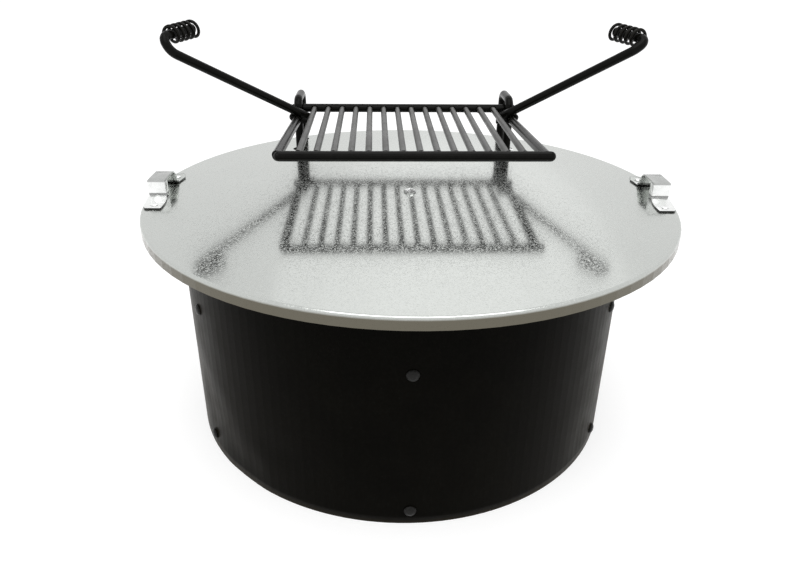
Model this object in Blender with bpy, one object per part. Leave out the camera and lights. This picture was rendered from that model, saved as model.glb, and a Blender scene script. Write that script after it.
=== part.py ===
"""Campsite charcoal grill: a steel fire drum, a flat lid and a raised cooking grate.

The world origin is on the floor under the lid's middle, +Z is up and the cook stands at -Y.
The drum stands a little off the lid's middle. Two hairpin uprights pass through the lid:
their near legs stand on the drum's top ring and their far legs go down into sockets on the
drum's back. The grate hangs on the near legs: its rear bar runs behind them, and a lug on
each side bears on their front, a little lower, so its own weight jams it.
"""
import math

import bmesh
import bpy
from mathutils import Matrix, Vector

# Driving dimensions, in metres
GAP = 0.0003
ROD = 0.01905
BAR = 0.0127
CUT_PAST = 0.010

DRUM_CENTRE = (-0.0129, -0.0065, 0)
DRUM_RADIUS = 0.420
WALL = 0.0032
AIR_SPACE = 0.0368
DRUM_FACETS = 72
RIM_THICKNESS = 0.003
RIM_INSET = 0.001
RIM_LEDGE = 0.002
BOLT_ROWS = (0.028, 0.298)
BOLT_AZIMUTHS = (-150, -90, -30, 30, 90, 150)
SPACER_WIDTH = 0.025
SPACER_OVERHANG = 0.016

LID_TOP = 0.438
LID_OVERHANG = 0.080
LID_SHEET = 0.002
LIP_DEPTH = 0.0205
LIP_BEND = 0.0045
LID_SEGMENTS = 96

BOLT_HOLE = 0.0052
BOLT_SHANK = 0.0047
DRUM_BOLT_HEAD = (0.0105, 0.0055)
DRUM_BOLT_NUT = (0.0085, 0.0080)
LID_BOLT_HEAD = (0.0120, 0.0070)
LID_BOLT_NUT = (0.0095, 0.0080)
HANDLE_BOLT_HOLE = 0.0037
HANDLE_BOLT_SHANK = 0.0032
HANDLE_BOLT_HEAD = (0.0065, 0.0026)
HANDLE_BOLT_NUT = (0.0058, 0.0048)

LEG_CLEAR = 0.0366
FAR_LEG_INSET = 0.026
HAIRPIN_SPAN = 0.093
HAIRPIN_RISE = 0.1125
HAIRPIN_BEND = 0.020
FAR_LEG_DEPTH = 0.150
SOCKET_TOP = 0.395
SOCKET_WALL = 0.0025
SOCKET_FLOOR = 0.005
SOCKET_PLAY = 0.0004
TAB_THICKNESS = 0.006
TAB_LOW = 0.010
TAB_HEIGHT = 0.070
NEAR_HOLE_RADIUS = 0.017
FAR_HOLE_RADIUS = 0.0125

GRATE_RISE = 0.091
GRATE_DEPTH = 0.4023
FRONT_BAR_PAST = (0.0045, 0.0070)
REAR_BAR_PAST = 0.0095
BAR_PITCH = 0.03175
BAR_COUNT = 14
SIDE_BAR_CLEAR = 0.0381
SIDE_BAR_DROP = 0.016
LUG_ROOT_PAST = -0.0230
LUG_TIP_PAST = 0.0100
LUG_ROOT_RISE = 0.0705
LUG_TIP_RISE = 0.0785

ARM_ROOT = (-0.0240, 0.0034, 0.0775)
ARM_CORNERS = {"left": (0.2330, -0.1201, 0.2350), "right": (0.2240, -0.1181, 0.2445)}
GRIP_START = (0.2385, -0.0946, 0.2640)
GRIP_DIRECTION = (-0.440, 0.890, 0.070)
GRIP_CORNER_BACK = 0.0215
ARM_BENDS = (0.034, 0.0155)
GRIP_ROD_LENGTH = 0.0720
COIL_WIRE = 0.0066
COIL_OUTSIDE = 0.0396
COIL_PITCH = 0.0155
COIL_TURNS = 4.85
COIL_STEPS_PER_TURN = 10

STRAP_THICKNESS = 0.003
STRAP_WIDTH = 0.032
STRAP_RISE = 0.0305
STRAP_SIDE_LIP = 0.017
STRAP_TAPER = 0.011
STRAP_FLARE = 0.004
STRAP_NEAR_TAPER = 0.002
STRAP_NEAR_TAPER_RUN = 0.029
STRAP_FAR_TAPER_RUN = 0.022
STRAP_CORNER = 0.004
STRAP_TURN = math.radians(-1.2)
STRAP_NEAR_END = -0.106
STRAP_NEAR_BEND = -0.0355
STRAP_TOP_END = 0.022
STRAP_FAR_BEND = 0.047
STRAP_FAR_END = 0.100
STRAP_BOLT_INSET = 0.018
STRAP_BOLTS = (-0.090, 0.075)
ROUND_SIDES = 16
BOLT_SIDES = 12

# Worked out from the driving dimensions
FACET_ANGLE = 2 * math.pi / DRUM_FACETS
APOTHEM = math.cos(FACET_ANGLE / 2)
SHELL_BORE = DRUM_RADIUS - WALL
LINER_RADIUS = SHELL_BORE - AIR_SPACE
LINER_BORE = LINER_RADIUS - WALL
LID_RADIUS = DRUM_RADIUS + LID_OVERHANG
RIM_TOP = LID_TOP - LID_SHEET - GAP
SHELL_HEIGHT = RIM_TOP - RIM_THICKNESS - GAP
BARS_HALF = (BAR_COUNT - 1) * BAR_PITCH / 2
LEG_X = BARS_HALF + LEG_CLEAR
SIDE_BAR_X = BARS_HALF + SIDE_BAR_CLEAR
REAR_BAR_HALF = LEG_X + REAR_BAR_PAST
FAR_LEG_Y = math.sqrt((LID_RADIUS - FAR_LEG_INSET) ** 2 - LEG_X ** 2)
NEAR_LEG_Y = FAR_LEG_Y - HAIRPIN_SPAN
REAR_BAR_Y = NEAR_LEG_Y + ROD + GAP
FRONT_BAR_Y = REAR_BAR_Y - GRATE_DEPTH
LUG_Y = NEAR_LEG_Y - ROD - GAP
GRATE_Z = LID_TOP + GRATE_RISE
SOCKET_BORE = ROD / 2 + SOCKET_PLAY
STRAP_OUTER_RADIUS = LID_RADIUS - LIP_BEND
STRAP_INNER_RADIUS = STRAP_OUTER_RADIUS - STRAP_WIDTH
STRAP_BOLT_RADIUS = STRAP_OUTER_RADIUS - STRAP_BOLT_INSET
SPACER_TOP = BOLT_ROWS[1] + SPACER_OVERHANG
SPACER_BOTTOM = BOLT_ROWS[0] - SPACER_OVERHANG


def clear_scene():
    for old in list(bpy.data.objects):
        bpy.data.objects.remove(old, do_unlink=True)


def material(name, colour, roughness, metallic):
    """A Principled material in the part's colour."""
    made = bpy.data.materials.new(name)
    made.use_nodes = True
    made.diffuse_color = (*colour, 1.0)
    shader = made.node_tree.nodes["Principled BSDF"]
    shader.inputs["Base Color"].default_value = (*colour, 1.0)
    shader.inputs["Roughness"].default_value = roughness
    shader.inputs["Metallic"].default_value = metallic
    return made


def mesh_from(name, shape):
    """Turn a bmesh into a mesh whose faces all point out."""
    bmesh.ops.recalc_face_normals(shape, faces=shape.faces)
    mesh = bpy.data.meshes.new(name)
    shape.to_mesh(mesh)
    shape.free()
    return mesh


def place(name, data, look, location=(0, 0, 0), smooth=True):
    """Put a piece in the scene under its node's name."""
    piece = bpy.data.objects.new(name, data)
    bpy.context.collection.objects.link(piece)
    piece.location = location
    if look and not data.materials:
        data.materials.append(look)
    if smooth and isinstance(data, bpy.types.Mesh):
        data.shade_smooth()
        data.set_sharp_from_angle(angle=math.radians(35))
    return piece


def guide(name, mesh, location=(0, 0, 0)):
    """A cutter: a wire shape that the build leaves out."""
    made = place(name, mesh, None, location, smooth=False)
    made.display_type = "WIRE"
    made.hide_render = True
    return made


def point_along(piece, direction):
    """Turn a piece so that its own Z runs along a direction."""
    piece.rotation_euler = Vector(direction).to_track_quat("Z", "Y").to_euler()


def combine(piece, other, operation="DIFFERENCE"):
    """Cut another shape out of a piece, or join it on."""
    step = piece.modifiers.new(operation.title(), "BOOLEAN")
    step.operation = operation
    step.solver = "EXACT"
    step.object = other


def bake(piece):
    """Give a piece the mesh that its modifiers make, so that copies can share it."""
    bpy.context.view_layer.update()
    graph = bpy.context.evaluated_depsgraph_get()
    mesh = bpy.data.meshes.new_from_object(piece.evaluated_get(graph))
    if piece.type == "MESH":
        piece.modifiers.clear()
        piece.data = mesh
    return mesh


def hang_on(parent, *pieces):
    """Parent pieces to an empty and leave them where they stand."""
    for piece in pieces:
        piece.parent = parent
        piece.location = piece.location - parent.location


def pivot(name, location):
    """An empty on a joint's axis."""
    made = bpy.data.objects.new(name, None)
    made.empty_display_size = 0.05
    made.location = location
    bpy.context.collection.objects.link(made)
    return made


def turned(name, profile, segments, closed=False, phase=0.0):
    """Revolve (radius, height) points round Z. A radius of zero is a pole."""
    shape = bmesh.new()
    rings = []
    for radius, height in profile:
        if radius == 0:
            rings.append([shape.verts.new((0, 0, height))])
            continue
        angles = [phase + 2 * math.pi * step / segments for step in range(segments)]
        spots = [(radius * math.cos(a), radius * math.sin(a), height) for a in angles]
        rings.append([shape.verts.new(spot) for spot in spots])
    pairs = list(zip(rings, rings[1:]))
    if closed:
        pairs.append((rings[-1], rings[0]))
    for low, high in pairs:
        for step in range(segments):
            after = (step + 1) % segments
            corners = [low[step % len(low)], low[after % len(low)],
                       high[after % len(high)], high[step % len(high)]]
            shape.faces.new(list(dict.fromkeys(corners)))
    if not closed:
        for end in (rings[0], rings[-1]):
            if len(end) > 1:
                shape.faces.new(end)
    return mesh_from(name, shape)


def tube(name, outside, bore, low, high, segments=DRUM_FACETS, phase=FACET_ANGLE / 2):
    """A plain ring or pipe."""
    profile = [(bore, low), (outside, low), (outside, high), (bore, high)]
    return turned(name, profile, segments, closed=True, phase=phase)


def cylinder(name, radius, length, sides=ROUND_SIDES):
    """A flat-ended round bar that stands on the origin."""
    return turned(name, [(radius, 0), (radius, length)], sides)


def block(name, low, high):
    """A box between two corners."""
    shape = bmesh.new()
    low, high = Vector(low), Vector(high)
    size = high - low
    grow = Matrix.Translation((low + high) / 2) @ Matrix.Diagonal((*size, 1.0))
    bmesh.ops.create_cube(shape, size=1.0, matrix=grow)
    return mesh_from(name, shape)


def ball_ended(name, radius, length, start_ball=True):
    """A round bar with a domed end, or two; length runs between the domes' centres."""
    steps = [math.radians(angle) for angle in (0, 25, 50, 72)]
    dome = [(radius * math.cos(a), radius * math.sin(a)) for a in steps]
    top = [(r, length + h) for r, h in dome] + [(0, length + radius)]
    bottom = [(0, -radius)] + [(r, -h) for r, h in reversed(dome)]
    if not start_ball:
        bottom = [(radius, 0)]
    return turned(name, bottom + top, ROUND_SIDES)


def joined(name, *shapes):
    """Several separate shapes in one mesh, for one cutter: (mesh, matrix) pairs."""
    shape = bmesh.new()
    for mesh, matrix in shapes:
        part = mesh.copy()
        part.transform(matrix)
        shape.from_mesh(part)
        bpy.data.meshes.remove(part)
    return mesh_from(name, shape)


def radial(azimuth, radius, height):
    """The matrix that stands a shape's Z outward at an azimuth in degrees."""
    turn = Matrix.Rotation(math.radians(azimuth), 4, "Z")
    out = Matrix.Rotation(math.pi / 2, 4, "Y")
    return turn @ Matrix.Translation((radius, 0, height)) @ out


def rounded_path(points, radii, steps=7):
    """A path with each inner corner replaced by an arc of its own radius."""
    points = [Vector(point) for point in points]
    path = [points[0]]
    for before, corner, after, radius in zip(points, points[1:], points[2:], radii):
        back = (before - corner).normalized()
        on = (after - corner).normalized()
        half = back.angle(on) / 2
        centre = corner + (back + on).normalized() * (radius / math.sin(half))
        start = corner + back * (radius / math.tan(half)) - centre
        end = corner + on * (radius / math.tan(half)) - centre
        sweep = start.angle(end)
        for step in range(steps + 1):
            share = step / steps
            blend = (math.sin((1 - share) * sweep) * start + math.sin(share * sweep) * end)
            path.append(centre + blend / math.sin(sweep))
    path.append(points[-1])
    return path


def wire_curve(name, points, diameter, resolution):
    """A round rod or wire along a path: a curve with a bevel and filled caps."""
    curve = bpy.data.curves.new(name, "CURVE")
    curve.dimensions = "3D"
    curve.bevel_depth = diameter / 2
    curve.bevel_resolution = resolution
    curve.use_fill_caps = True
    line = curve.splines.new("POLY")
    line.points.add(len(points) - 1)
    for spot, point in zip(line.points, points):
        spot.co = (*point, 1.0)
    return curve


def bent_rod(name, points, look, location):
    """A rod of the frame's size, bent along a path."""
    curve = wire_curve(name, points, ROD, (ROUND_SIDES - 4) // 2)
    piece = place(name, curve, look, location)
    mesh = bake(piece)
    bpy.data.objects.remove(piece)
    return place(name, mesh, look, location)


def bolt(name, head, nut, shank_radius, grip):
    """A domed bolt with its nut on: the head seats at Z = 0 and the nut at -grip."""
    head_radius, head_height = head
    nut_radius, nut_height = nut
    tail = grip + nut_height + shank_radius
    dome = [(head_radius, 0), (head_radius, 0.25 * head_height),
            (0.82 * head_radius, 0.66 * head_height),
            (0.45 * head_radius, 0.93 * head_height), (0, head_height)]
    profile = [(0, -tail), (shank_radius, -tail), (shank_radius, 0)] + dome
    piece = place(name, turned(name, profile, BOLT_SIDES), None)
    hexagon = guide(name + "_nut", cylinder(name, nut_radius, nut_height, 6), (0, 0, -grip - nut_height))
    combine(piece, hexagon, "UNION")
    mesh = bake(piece)
    bpy.data.objects.remove(piece)
    bpy.data.objects.remove(hexagon)
    return mesh


def build_drum(black):
    """Two steel walls on spacer bars, held by bolts, with a flat ring on top."""
    hole = cylinder("bolt_hole", BOLT_HOLE, DRUM_RADIUS - LINER_BORE + 2 * CUT_PAST)
    holes = [(hole, radial(azimuth, LINER_BORE - CUT_PAST, height))
             for azimuth in BOLT_AZIMUTHS for height in BOLT_ROWS]
    bolt_holes = guide("bolt_holes", joined("bolt_holes", *holes), DRUM_CENTRE)
    outer = tube("outer_shell", DRUM_RADIUS, SHELL_BORE, 0, SHELL_HEIGHT)
    inner = tube("inner_liner", LINER_RADIUS, LINER_BORE, 0, SHELL_HEIGHT)
    combine(place("outer_shell", outer, black, DRUM_CENTRE), bolt_holes)
    combine(place("inner_liner", inner, black, DRUM_CENTRE), bolt_holes)

    inside = LINER_RADIUS * APOTHEM + GAP
    outside = SHELL_BORE * APOTHEM - GAP
    for number, azimuth in enumerate(BOLT_AZIMUTHS, 1):
        bar = block("spacer_bar", (inside, -SPACER_WIDTH / 2, SPACER_BOTTOM),
                    (outside, SPACER_WIDTH / 2, SPACER_TOP))
        spacer = place(f"spacer_bar_{number}", bar, black, DRUM_CENTRE, smooth=False)
        spacer.rotation_euler.z = math.radians(azimuth)
        combine(spacer, bolt_holes)

    seat = DRUM_RADIUS * APOTHEM + GAP
    grip = seat - (LINER_BORE * APOTHEM - GAP)
    fastener = bolt("drum_bolt", DRUM_BOLT_HEAD, DRUM_BOLT_NUT, BOLT_SHANK, grip)
    places = [(azimuth, height) for height in BOLT_ROWS for azimuth in BOLT_AZIMUTHS]
    for number, (azimuth, height) in enumerate(places, 1):
        piece = place(f"drum_bolt_{number:02d}", fastener, black)
        piece.matrix_world = Matrix.Translation(DRUM_CENTRE) @ radial(azimuth, seat, height)

    bottom = SHELL_HEIGHT + GAP
    top = bottom + RIM_THICKNESS
    ring = tube("rim_ring", DRUM_RADIUS - RIM_INSET, LINER_BORE - RIM_LEDGE, bottom, top)
    place("rim_ring", ring, black, DRUM_CENTRE)


def build_sockets(black):
    """A blind pipe for each far leg, with a tab that stands on the drum's back."""
    outside = SOCKET_BORE + SOCKET_WALL
    low = LID_TOP - FAR_LEG_DEPTH - GAP - SOCKET_FLOOR
    height = SOCKET_TOP - low
    profile = [(0, 0), (outside, 0), (outside, height), (SOCKET_BORE, height),
               (SOCKET_BORE, SOCKET_FLOOR), (0, SOCKET_FLOOR)]
    core = turned("shell_gauge", [(DRUM_RADIUS + GAP, 0), (DRUM_RADIUS + GAP, LID_TOP)],
                  DRUM_FACETS, phase=FACET_ANGLE / 2)
    shell_gauge = guide("shell_gauge", core, DRUM_CENTRE)
    for label, side in (("left", -1), ("right", 1)):
        base = Vector((side * LEG_X, FAR_LEG_Y, low))
        socket = place(f"upright_socket_{label}", turned("socket", profile, ROUND_SIDES), black, base)
        inward = Vector(DRUM_CENTRE) - base
        near_side = (SOCKET_BORE + SOCKET_WALL / 2, -TAB_THICKNESS / 2, TAB_LOW)
        far_side = (inward.xy.length - DRUM_RADIUS + CUT_PAST, TAB_THICKNESS / 2, TAB_LOW + TAB_HEIGHT)
        tab = guide(f"socket_tab_{label}", block("tab", near_side, far_side), base)
        tab.rotation_euler.z = math.atan2(inward.y, inward.x)
        combine(socket, tab, "UNION")
        combine(socket, shell_gauge)


def across_at(radius, along):
    """The X of a circle round the lid's middle at a given Y."""
    return math.sqrt(radius ** 2 - along ** 2)


def handle_bolt_spots(side):
    """Where a handle's two bolts pass through the lid."""
    turn = Matrix.Rotation(STRAP_TURN, 3, "Z")
    return [turn @ Vector((side * across_at(STRAP_BOLT_RADIUS, along), along, LID_TOP))
            for along in STRAP_BOLTS]


def build_lid(galvanised, zinc):
    """A round sheet with a turned-down lip, resting on the drum's ring."""
    inside = LID_RADIUS - LID_SHEET
    inner_bend = LIP_BEND - LID_SHEET
    centre = LID_RADIUS - LIP_BEND
    turns = [math.radians(90 * step / 4) for step in range(5)]
    under = [(centre + inner_bend * math.sin(a), -LIP_BEND + inner_bend * math.cos(a)) for a in turns]
    over = [(centre + LIP_BEND * math.sin(a), -LIP_BEND + LIP_BEND * math.cos(a)) for a in turns]
    profile = under + [(inside, -LIP_DEPTH), (LID_RADIUS, -LIP_DEPTH)] + over[::-1]
    lid = place("lid", turned("lid", profile, LID_SEGMENTS), galvanised, (0, 0, LID_TOP))

    holes = [(0, 0, BOLT_HOLE)]
    for side in (-1, 1):
        holes.append((side * LEG_X, NEAR_LEG_Y, NEAR_HOLE_RADIUS))
        holes.append((side * LEG_X, FAR_LEG_Y, FAR_HOLE_RADIUS))
        for spot in handle_bolt_spots(side):
            holes.append((spot.x, spot.y, HANDLE_BOLT_HOLE))
    low = LID_TOP - LID_SHEET - CUT_PAST
    punches = [(cylinder("punch", radius, LID_SHEET + 2 * CUT_PAST), Matrix.Translation((x, y, low)))
               for x, y, radius in holes]
    combine(lid, guide("lid_holes", joined("lid_holes", *punches)))

    grip = LID_SHEET + 2 * GAP
    fastener = bolt("lid_bolt", LID_BOLT_HEAD, LID_BOLT_NUT, BOLT_SHANK, grip)
    place("lid_bolt", fastener, zinc, (0, 0, LID_TOP + GAP))


def strap(name, stations):
    """A bent strap: (Y, Z, inner X, outer X) stations along the middle of its thickness."""
    shape = bmesh.new()
    line = [Vector((0, y, z)) for y, z, _, _ in stations]
    rows = []
    for index, (_, _, inner, outer) in enumerate(stations):
        here = line[index]
        into = (here - line[index - 1]).normalized() if index else None
        away = (line[index + 1] - here).normalized() if index + 1 < len(line) else into
        into = into or away
        across = (into + away).normalized()
        normal = Vector((0, -across.z, across.y))
        reach = STRAP_THICKNESS / 2 / max(0.3, across.dot(away))
        over, under = here + normal * reach, here - normal * reach
        corners = ((inner, over), (outer, over), (outer, under), (inner, under))
        rows.append([shape.verts.new((x, spot.y, spot.z)) for x, spot in corners])
    for row, after in zip(rows, rows[1:]):
        for side in range(4):
            beyond = (side + 1) % 4
            shape.faces.new((row[side], row[beyond], after[beyond], after[side]))
    shape.faces.new(rows[0])
    shape.faces.new(rows[-1])
    return mesh_from(name, shape)


def strap_stations():
    """A handle's (Y, Z, inner X, outer X) from its near end to its far end."""
    foot = GAP + STRAP_THICKNESS / 2
    drop = STRAP_RISE - foot
    near_flat = STRAP_NEAR_END + STRAP_NEAR_TAPER_RUN
    far_flat = STRAP_FAR_END - STRAP_FAR_TAPER_RUN
    near_web = STRAP_NEAR_BEND + STRAP_THICKNESS / 3
    slope = STRAP_FAR_BEND - STRAP_TOP_END
    line = [(STRAP_NEAR_END, foot, STRAP_NEAR_TAPER, STRAP_CORNER),
            (STRAP_NEAR_END + 1.5 * STRAP_CORNER, foot, 0, 0), (near_flat, foot, -STRAP_FLARE, 0),
            ((near_flat + near_web) / 2, foot, -STRAP_FLARE, 0), (near_web, foot, 0, 0)]
    for share in (0, 1 / 3, 2 / 3):
        line.append((STRAP_NEAR_BEND + (STRAP_TOP_END - STRAP_NEAR_BEND) * share, STRAP_RISE, 0, 0))
    for share, fall in ((0, 0), (0.28, 0.09), (0.52, 0.30), (0.72, 0.58), (0.88, 0.84), (1, 1)):
        line.append((STRAP_TOP_END + slope * share, STRAP_RISE - drop * fall, 0, 0))
    line += [((STRAP_FAR_BEND + far_flat) / 2, foot, 0, 0), (far_flat, foot, 0, 0),
             (STRAP_FAR_END - 1.5 * STRAP_CORNER, foot, 0.8 * STRAP_TAPER, 0),
             (STRAP_FAR_END, foot, STRAP_TAPER, STRAP_CORNER)]
    return [(along, rise, across_at(STRAP_INNER_RADIUS, along) + inner,
             across_at(STRAP_OUTER_RADIUS, along) - outer) for along, rise, inner, outer in line]


def strap_lip():
    """The lip turned back along the near web's inner edge, up to the top."""
    low, high = GAP + STRAP_THICKNESS / 2, STRAP_RISE + STRAP_THICKNESS / 3
    edge = STRAP_NEAR_BEND - STRAP_THICKNESS / 3
    side = edge + STRAP_SIDE_LIP
    outline = [(edge + STRAP_THICKNESS / 3, low), (side, low), (side, high), (edge, high)]
    x = across_at(STRAP_INNER_RADIUS, edge)
    lip = bmesh.new()
    base = lip.faces.new([lip.verts.new((x, along, rise)) for along, rise in outline])
    walls = bmesh.ops.extrude_face_region(lip, geom=[base])
    moved = [item for item in walls["geom"] if isinstance(item, bmesh.types.BMVert)]
    bmesh.ops.translate(lip, verts=moved, vec=(STRAP_THICKNESS, 0, 0))
    return mesh_from("handle_lip", lip)


def build_handles(zinc):
    """A bent strap handle at each side of the lid, both turned a little the same way."""
    drill = cylinder("drill", HANDLE_BOLT_HOLE, STRAP_THICKNESS + 2 * CUT_PAST)
    drills = [(drill, Matrix.Translation((across_at(STRAP_BOLT_RADIUS, along), along, -CUT_PAST)))
              for along in STRAP_BOLTS]
    model = place("handle", strap("handle", strap_stations()), zinc, smooth=False)
    lip_guide = guide("handle_lip", strap_lip())
    drill_guide = guide("handle_drill", joined("handle_drill", *drills))
    combine(model, lip_guide, "UNION")
    combine(model, drill_guide)
    right_mesh = bake(model)
    for used in (model, lip_guide, drill_guide):
        bpy.data.objects.remove(used)
    left_mesh = right_mesh.copy()
    left_mesh.transform(Matrix.Diagonal((-1, 1, 1, 1)))
    left_mesh.flip_normals()

    grip = LID_SHEET + STRAP_THICKNESS + 3 * GAP
    fastener = bolt("handle_bolt", HANDLE_BOLT_HEAD, HANDLE_BOLT_NUT, HANDLE_BOLT_SHANK, grip)
    above = Vector((0, 0, STRAP_THICKNESS + 2 * GAP))
    for label, side, mesh in (("left", -1, left_mesh), ("right", 1, right_mesh)):
        handle = place(f"handle_{label}", mesh, zinc, (0, 0, LID_TOP))
        handle.rotation_euler.z = STRAP_TURN
        for number, spot in enumerate(handle_bolt_spots(side), 1):
            place(f"handle_bolt_{label}_{number}", fastener, zinc, spot + above)


def build_uprights(black):
    """Two hairpins: the near leg stands on the drum's ring, the far leg in its socket."""
    corners = [(0, 0, -LID_SHEET), (0, 0, HAIRPIN_RISE), (0, HAIRPIN_SPAN, HAIRPIN_RISE),
               (0, HAIRPIN_SPAN, -FAR_LEG_DEPTH)]
    path = rounded_path(corners, (HAIRPIN_BEND, HAIRPIN_BEND))
    lift = pivot("uprights_lift", (0, NEAR_LEG_Y, LID_TOP))
    for label, side in (("left", -1), ("right", 1)):
        upright = bent_rod(f"upright_{label}", path, black, (side * LEG_X, NEAR_LEG_Y, LID_TOP))
        hang_on(lift, upright)
    return lift


def at_lug(point, side=1):
    """A point that is measured from the leg, the lugs and the lid's top, on one side."""
    return Vector((side * (LEG_X + point[0]), LUG_Y + point[1], LID_TOP + point[2]))


def build_coil_grip(name, look, side):
    """An open coil round the arm's end, each end turned in square to the rod."""
    wind = (COIL_OUTSIDE - COIL_WIRE) / 2
    length = COIL_PITCH * COIL_TURNS
    direction = Vector(GRIP_DIRECTION).normalized()
    first = at_lug(GRIP_START) + direction * (GRIP_ROD_LENGTH + COIL_WIRE - length) / 2
    across = direction.cross(Vector((0, 0, 1))).normalized()
    rise = across.cross(direction)
    steps = round(COIL_TURNS * COIL_STEPS_PER_TURN)

    def spot(turn, radius, share):
        angle = 2 * math.pi * turn
        rim = across * math.cos(angle) + rise * math.sin(angle)
        point = first + direction * (length * share) + rim * radius
        return Vector((side * point.x, point.y, point.z))

    turns = [COIL_TURNS * step / steps for step in range(steps + 1)]
    coil = [spot(turn, wind, turn / COIL_TURNS) for turn in turns]
    tuck = 0.05
    tail_share = 0.93
    seat = ROD / 2 + GAP
    head = [spot(-tuck, seat, 0), spot(-tuck, seat + COIL_WIRE * 0.9, 0)]
    tail = [spot(COIL_TURNS + tuck, radius, tail_share) for radius in (seat + COIL_WIRE * 0.9, seat)]
    apart = [(a - b).length for i, a in enumerate(coil) for b in coil[i + 6:]]
    print(f"{name}: least gap to itself {1000 * (min(apart) - COIL_WIRE):.2f} mm")
    return place(name, wire_curve(name, head + coil + tail, COIL_WIRE, 1), look)


def build_grate(black, coil_black, lift):
    """The cooking grate: bars between two frame rods, two lifting arms, two lugs."""
    carriage = pivot("grate_carriage", (0, REAR_BAR_Y, GRATE_Z))
    tilt = pivot("grate_tilt", (0, REAR_BAR_Y, GRATE_Z))
    radius = ROD / 2
    reach = REAR_BAR_HALF + 2 * ROD
    cope = cylinder("cope", radius + GAP, 2 * reach)
    sideways = Matrix.Rotation(math.pi / 2, 4, "Y")
    front_cope = guide("front_cope", cope.copy(), (-reach, FRONT_BAR_Y, GRATE_Z))
    rear_cope = guide("rear_cope", cope.copy(), (-reach, REAR_BAR_Y, GRATE_Z))
    for cutter in (front_cope, rear_cope):
        cutter.rotation_euler = sideways.to_euler()

    rear = place("rear_bar", ball_ended("rear_bar", radius, 2 * REAR_BAR_HALF), black,
                 (-REAR_BAR_HALF, REAR_BAR_Y, GRATE_Z))
    front_left, front_right = FRONT_BAR_PAST[0] - SIDE_BAR_X, FRONT_BAR_PAST[1] + SIDE_BAR_X
    front = place("front_bar", ball_ended("front_bar", radius, front_right - front_left), black,
                  (front_left, FRONT_BAR_Y, GRATE_Z))
    for piece in (rear, front):
        point_along(piece, (1, 0, 0))
    hang_on(carriage, rear)
    hang_on(tilt, front)

    first = place("grate_bar_01", cylinder("grate_bar", BAR / 2, REAR_BAR_Y - FRONT_BAR_Y), black,
                  (-BARS_HALF, FRONT_BAR_Y, GRATE_Z))
    point_along(first, (0, 1, 0))
    combine(first, front_cope)
    combine(first, rear_cope)
    bar_mesh = bake(first)
    hang_on(tilt, first)
    for number in range(1, BAR_COUNT):
        spot = (-BARS_HALF + number * BAR_PITCH, FRONT_BAR_Y, GRATE_Z)
        piece = place(f"grate_bar_{number + 1:02d}", bar_mesh, black, spot)
        piece.rotation_euler = first.rotation_euler
        hang_on(tilt, piece)

    flush = BARS_HALF + BAR / 2 + GAP
    around = Vector((0, 2 * ROD, 2 * ROD))
    middle = Vector((flush, LUG_Y, GRATE_Z))
    trim = guide("arm_trim", block("arm_trim", -flush * Vector((2, 0, 0)) + middle - around, middle + around))
    for label, side in (("left", -1), ("right", 1)):
        root = at_lug((LUG_ROOT_PAST, 0, LUG_ROOT_RISE), side)
        tip = at_lug((LUG_TIP_PAST, 0, LUG_TIP_RISE), side)
        lug_mesh = ball_ended("lug", radius, (tip - root).length, start_ball=False)
        lug = place(f"lug_{label}", lug_mesh, black, root)
        point_along(lug, tip - root)
        lug_cope = guide(f"lug_cope_{label}", cylinder("lug_cope", radius + GAP, 10 * ROD),
                         root - (tip - root).normalized() * 4 * ROD)
        point_along(lug_cope, tip - root)

        start = Vector((side * SIDE_BAR_X, FRONT_BAR_Y, GRATE_Z))
        end = Vector((side * LEG_X, LUG_Y, GRATE_Z - SIDE_BAR_DROP))
        rail = place(f"side_bar_{label}", cylinder("side_bar", radius, (end - start).length), black, start)
        point_along(rail, end - start)
        combine(rail, front_cope)
        combine(rail, lug_cope)
        rail_cope = guide(f"rail_cope_{label}", cylinder("rail_cope", radius + GAP, 1.2 * GRATE_DEPTH), start)
        point_along(rail_cope, end - start)

        grip_direction = (Vector(GRIP_DIRECTION) * Vector((side, 1, 1))).normalized()
        grip_start = at_lug(GRIP_START, side)
        arm_root = at_lug(ARM_ROOT, side)
        corner = at_lug(ARM_CORNERS[label], side)
        inward = (arm_root - corner).normalized() * 0.85 * ROD
        path = [arm_root + inward, corner, grip_start - grip_direction * GRIP_CORNER_BACK,
                grip_start + grip_direction * GRIP_ROD_LENGTH]
        local = [point - arm_root for point in rounded_path(path, ARM_BENDS)]
        arm = bent_rod(f"arm_{label}", local, black, arm_root)
        for cutter in (trim, lug_cope, rail_cope):
            combine(arm, cutter)
        coil = build_coil_grip(f"coil_grip_{label}", coil_black, side)
        hang_on(tilt, lug, rail, arm, coil)
    for empty in (carriage, tilt):
        hang_on(lift, empty)


def main():
    clear_scene()
    black = material("black_paint", (0.030, 0.029, 0.027), 0.42, 0.0)
    coil_black = material("coil_black", (0.022, 0.021, 0.019), 0.38, 0.0)
    galvanised = material("galvanised_sheet", (0.62, 0.63, 0.62), 0.34, 1.0)
    zinc = material("zinc_strap", (0.72, 0.73, 0.73), 0.28, 1.0)
    build_drum(black)
    build_sockets(black)
    build_lid(galvanised, zinc)
    build_handles(zinc)
    lift = build_uprights(black)
    bpy.context.view_layer.update()
    build_grate(black, coil_black, lift)


main()
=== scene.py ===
"""Looks for a campsite charcoal grill: paint, galvanised sheet, welds, wound grips and a studio.

Run as a script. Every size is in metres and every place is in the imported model's frame: the
origin is on the floor under the lid's middle, +Z is up and the cook stands at -Y.
"""

import math

import bmesh
import bpy
from mathutils import Matrix, Vector


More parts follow.
